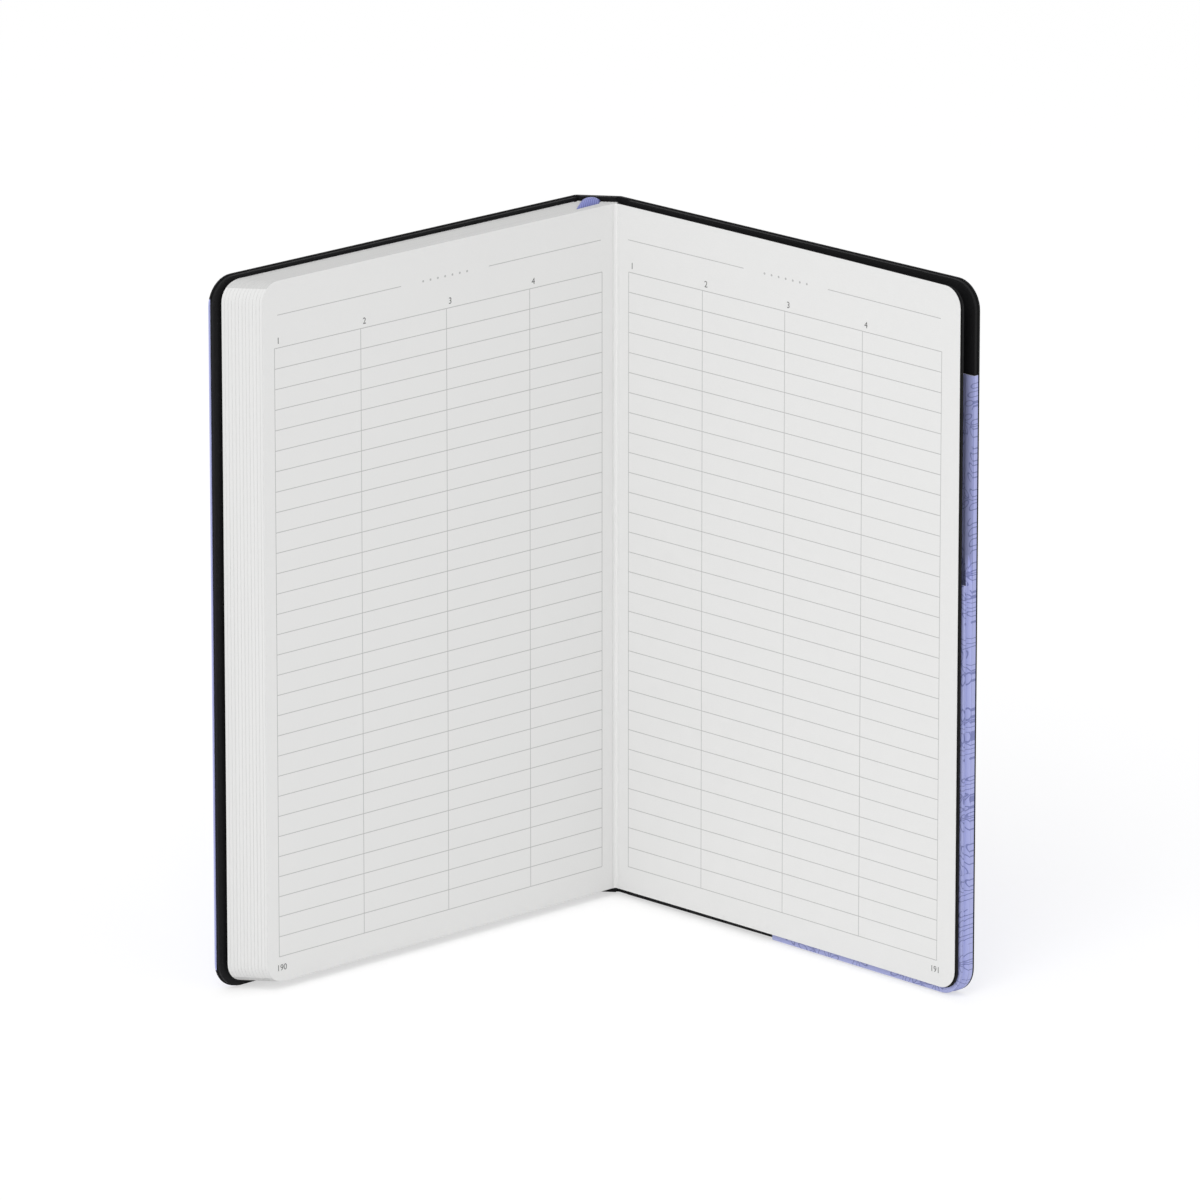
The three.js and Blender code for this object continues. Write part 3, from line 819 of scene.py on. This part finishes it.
def ribbon_loop():
    bm = bmesh.new()
    bmesh.ops.create_grid(bm, x_segments=16, y_segments=30, size=1)
    layer = bm.loops.layers.uv.new("cloth")
    for face in bm.faces:
        for loop in face.loops:
            loop[layer].uv = (loop.vert.co.x * GLUED_HALF, loop.vert.co.y)
    for v in bm.verts:
        v.co = ribbon_place(v.co.x, (v.co.y + 1) / 2)
    bmesh.ops.solidify(bm, geom=bm.faces, thickness=RIBBON_THICK * MM)
    bmesh.ops.recalc_face_normals(bm, faces=bm.faces)
    for face in bm.faces:
        face.smooth = True
    piece = add_piece("ribbon_loop", bm, ribbon_cloth)
    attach(piece, "block")
    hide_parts("ribbon_bookmark")
    print("ribbon loop:", len(piece.data.polygons), "faces")


ribbon_loop()

# %% [markdown]
# At the gutter the paper goes round from one page to the other without a break. A short strip of
# paper bridges the last fold, painted a little lighter than the pages as a painted highlight along
# the fold.

# %% Paper at the gutter fold
FOLD_ON_LEFT = ((0.9, 0.06), (0.3, 0.1))
FOLD_BEHIND = (-0.05, 0.02)
FOLD_ON_RIGHT = ((0.3, 0.02), (0.9, -0.06))
FOLD_THICK = 0.06


def gutter_paper():
    bm = bmesh.new()
    plan = [in_frame(FACING_START, FRONT_HEADING, *place) for place in FOLD_ON_LEFT]
    plan.append((GUTTER[0] + FOLD_BEHIND[0], GUTTER[1] + FOLD_BEHIND[1]))
    plan += [in_frame(GUTTER, LAST_LEAF_HEADING, *place) for place in FOLD_ON_RIGHT]
    feet = [bm.verts.new(point(place, PAGE_TAIL)) for place in plan]
    edges = [bm.edges.new(pair) for pair in zip(feet, feet[1:])]
    raised = bmesh.ops.extrude_edge_only(bm, edges=edges)
    tops = [v for v in raised["geom"] if isinstance(v, bmesh.types.BMVert)]
    bmesh.ops.translate(bm, verts=tops, vec=(0, 0, (PAGE_HEAD - PAGE_TAIL) * MM))
    thicken(bm, FOLD_THICK)
    piece = add_piece("gutter_fold", bm, fold_highlight_paper)
    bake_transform(piece)


gutter_paper()
print("gutter fold:", len(FOLD_ON_LEFT) + len(FOLD_ON_RIGHT) + 1, "places from page to page")

# %% [markdown]
# Page numbers and plain column numbers are real text, made into flat meshes. Each point is
# carried onto the page it is printed on, and on the right page it follows the slight bow.

# %% Numbers on the pages
PAGE_NUMBER_SIZE = 2.2
COLUMN_NUMBER_SIZE = 2.3
COLUMN_NUMBER_HEIGHT = 163.3
COLUMN_NUMBER_SHIFT = 1.2
LIFT_ON_LEFT = 0.02
LIFT_ON_RIGHT = 0.07
BOW_START = 0.3
BOW_LENGTH = 116.7
BOW_DEPTH = 0.5
ink = plain_material("printing ink", (0.12, 0.12, 0.12), 0.6, 0.3, 0.02, 0.1)


def print_number(name, text, size, along, high, page):
    """Text on the left or the right page, centred at a place on it."""
    curve = bpy.data.curves.new(name, "FONT")
    curve.body = text
    curve.size = size
    curve.align_x = "CENTER"
    drawn = bpy.data.objects.new(name + "_drawn", curve)
    bpy.context.collection.objects.link(drawn)
    bpy.context.view_layer.update()
    mesh = bpy.data.meshes.new_from_object(drawn.evaluated_get(
        bpy.context.evaluated_depsgraph_get()))
    bpy.data.objects.remove(drawn)
    for v in mesh.vertices:
        if page == "left":
            distance = along - v.co.x
            flat = in_frame(FACING_START, FRONT_HEADING, distance, LIFT_ON_LEFT)
        else:
            distance = along + v.co.x
            bow = BOW_DEPTH * math.sin(math.pi * (distance - BOW_START) / BOW_LENGTH)
            flat = in_frame(GUTTER, LAST_LEAF_HEADING, distance, bow - LIFT_ON_RIGHT)
        v.co = point(flat, high + v.co.y)
    piece = bpy.data.objects.new(name, mesh)
    bpy.context.collection.objects.link(piece)
    mesh.materials.append(ink)
    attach(piece, "block" if page == "left" else "last_leaf")


print_number("number_left_page", "190", PAGE_NUMBER_SIZE, 111.3, 4.8, "left")
print_number("number_right_page", "191", PAGE_NUMBER_SIZE, 110.4, 5.3, "right")
for k in range(4):
    left_place = LEFT_COLUMNS[4 - k] - COLUMN_NUMBER_SHIFT
    right_place = RIGHT_COLUMNS[k] + COLUMN_NUMBER_SHIFT
    for side, place in (("left", left_place), ("right", right_place)):
        print_number(f"column_{side}_{k + 1}", str(k + 1), COLUMN_NUMBER_SIZE, place,
                     COLUMN_NUMBER_HEIGHT, side)
print("numbers printed")

# %% [markdown]
# The studio is a white room: an even sky, a large soft lamp above the camera and to its left,
# and a white floor that still shows the book's soft shadow. The camera sees plain white where
# the floor and the sky are lit, without any more light falling on the paper.

# %% Studio
SKY_LIGHT = 0.77
LAMP_PLACE = (-1, -2.96, 3.71)
LAMP_AIM = (0, -0.04, 0.09)
LAMP_SIZE = 3.2
LAMP_POWER = 72
FLOOR_HALF = 6
FLOOR_DROP = 0.0002
FLOOR_WHITE = (0.97, 0.97, 0.97)
FLOOR_SEEN = (0.45, 0.45, 0.45)
FLOOR_GLOW = 0.585
bpy.context.scene.view_settings.view_transform = "Standard"


def seen_directly(tree):
    """1 for the camera's rays, and for those that come by way of a gloss or through glass."""
    path = tree.nodes.new("ShaderNodeLightPath")
    return maths(tree, "MAXIMUM", path.outputs["Is Camera Ray"], maths(
        tree, "MAXIMUM", path.outputs["Is Glossy Ray"], path.outputs["Is Transmission Ray"]))


def make_sky():
    world = bpy.data.worlds.new("white room")
    bpy.context.scene.world = world
    world.use_nodes = True
    tree = world.node_tree
    background = tree.nodes["Background"]
    background.inputs["Color"].default_value = (1, 1, 1, 1)
    strength = maths(tree, "MULTIPLY_ADD", seen_directly(tree), 1 - SKY_LIGHT, SKY_LIGHT)
    link(tree, strength, background.inputs["Strength"])


def make_lamp():
    lamp = bpy.data.lights.new("soft lamp", "AREA")
    lamp.shape = "DISK"
    lamp.size = LAMP_SIZE
    lamp.energy = LAMP_POWER
    lamp_object = bpy.data.objects.new("soft lamp", lamp)
    bpy.context.collection.objects.link(lamp_object)
    lamp_object.location = LAMP_PLACE
    towards = Vector(LAMP_AIM) - Vector(LAMP_PLACE)
    lamp_object.rotation_euler = towards.to_track_quat("-Z", "Y").to_euler()


def make_floor():
    material = bpy.data.materials.new("white floor")
    material.use_nodes = True
    tree = material.node_tree
    shader = tree.nodes["Principled BSDF"]
    shader.inputs["Roughness"].default_value = 0.9
    shader.inputs["Specular IOR Level"].default_value = 0
    seen = seen_directly(tree)
    tree.links.new(mix(tree, seen, FLOOR_WHITE, FLOOR_SEEN), shader.inputs["Base Color"])
    shader.inputs["Emission Color"].default_value = (1, 1, 1, 1)
    link(tree, maths(tree, "MULTIPLY", seen, FLOOR_GLOW), shader.inputs["Emission Strength"])
    bm = bmesh.new()
    bmesh.ops.create_grid(bm, x_segments=1, y_segments=1, size=FLOOR_HALF)
    floor = add_piece("floor", bm, material)
    floor.location.z = -FLOOR_DROP


make_sky()
make_lamp()
make_floor()
print("sky", SKY_LIGHT, "lamp", LAMP_POWER, "W, floor", 2 * FLOOR_HALF, "m wide")
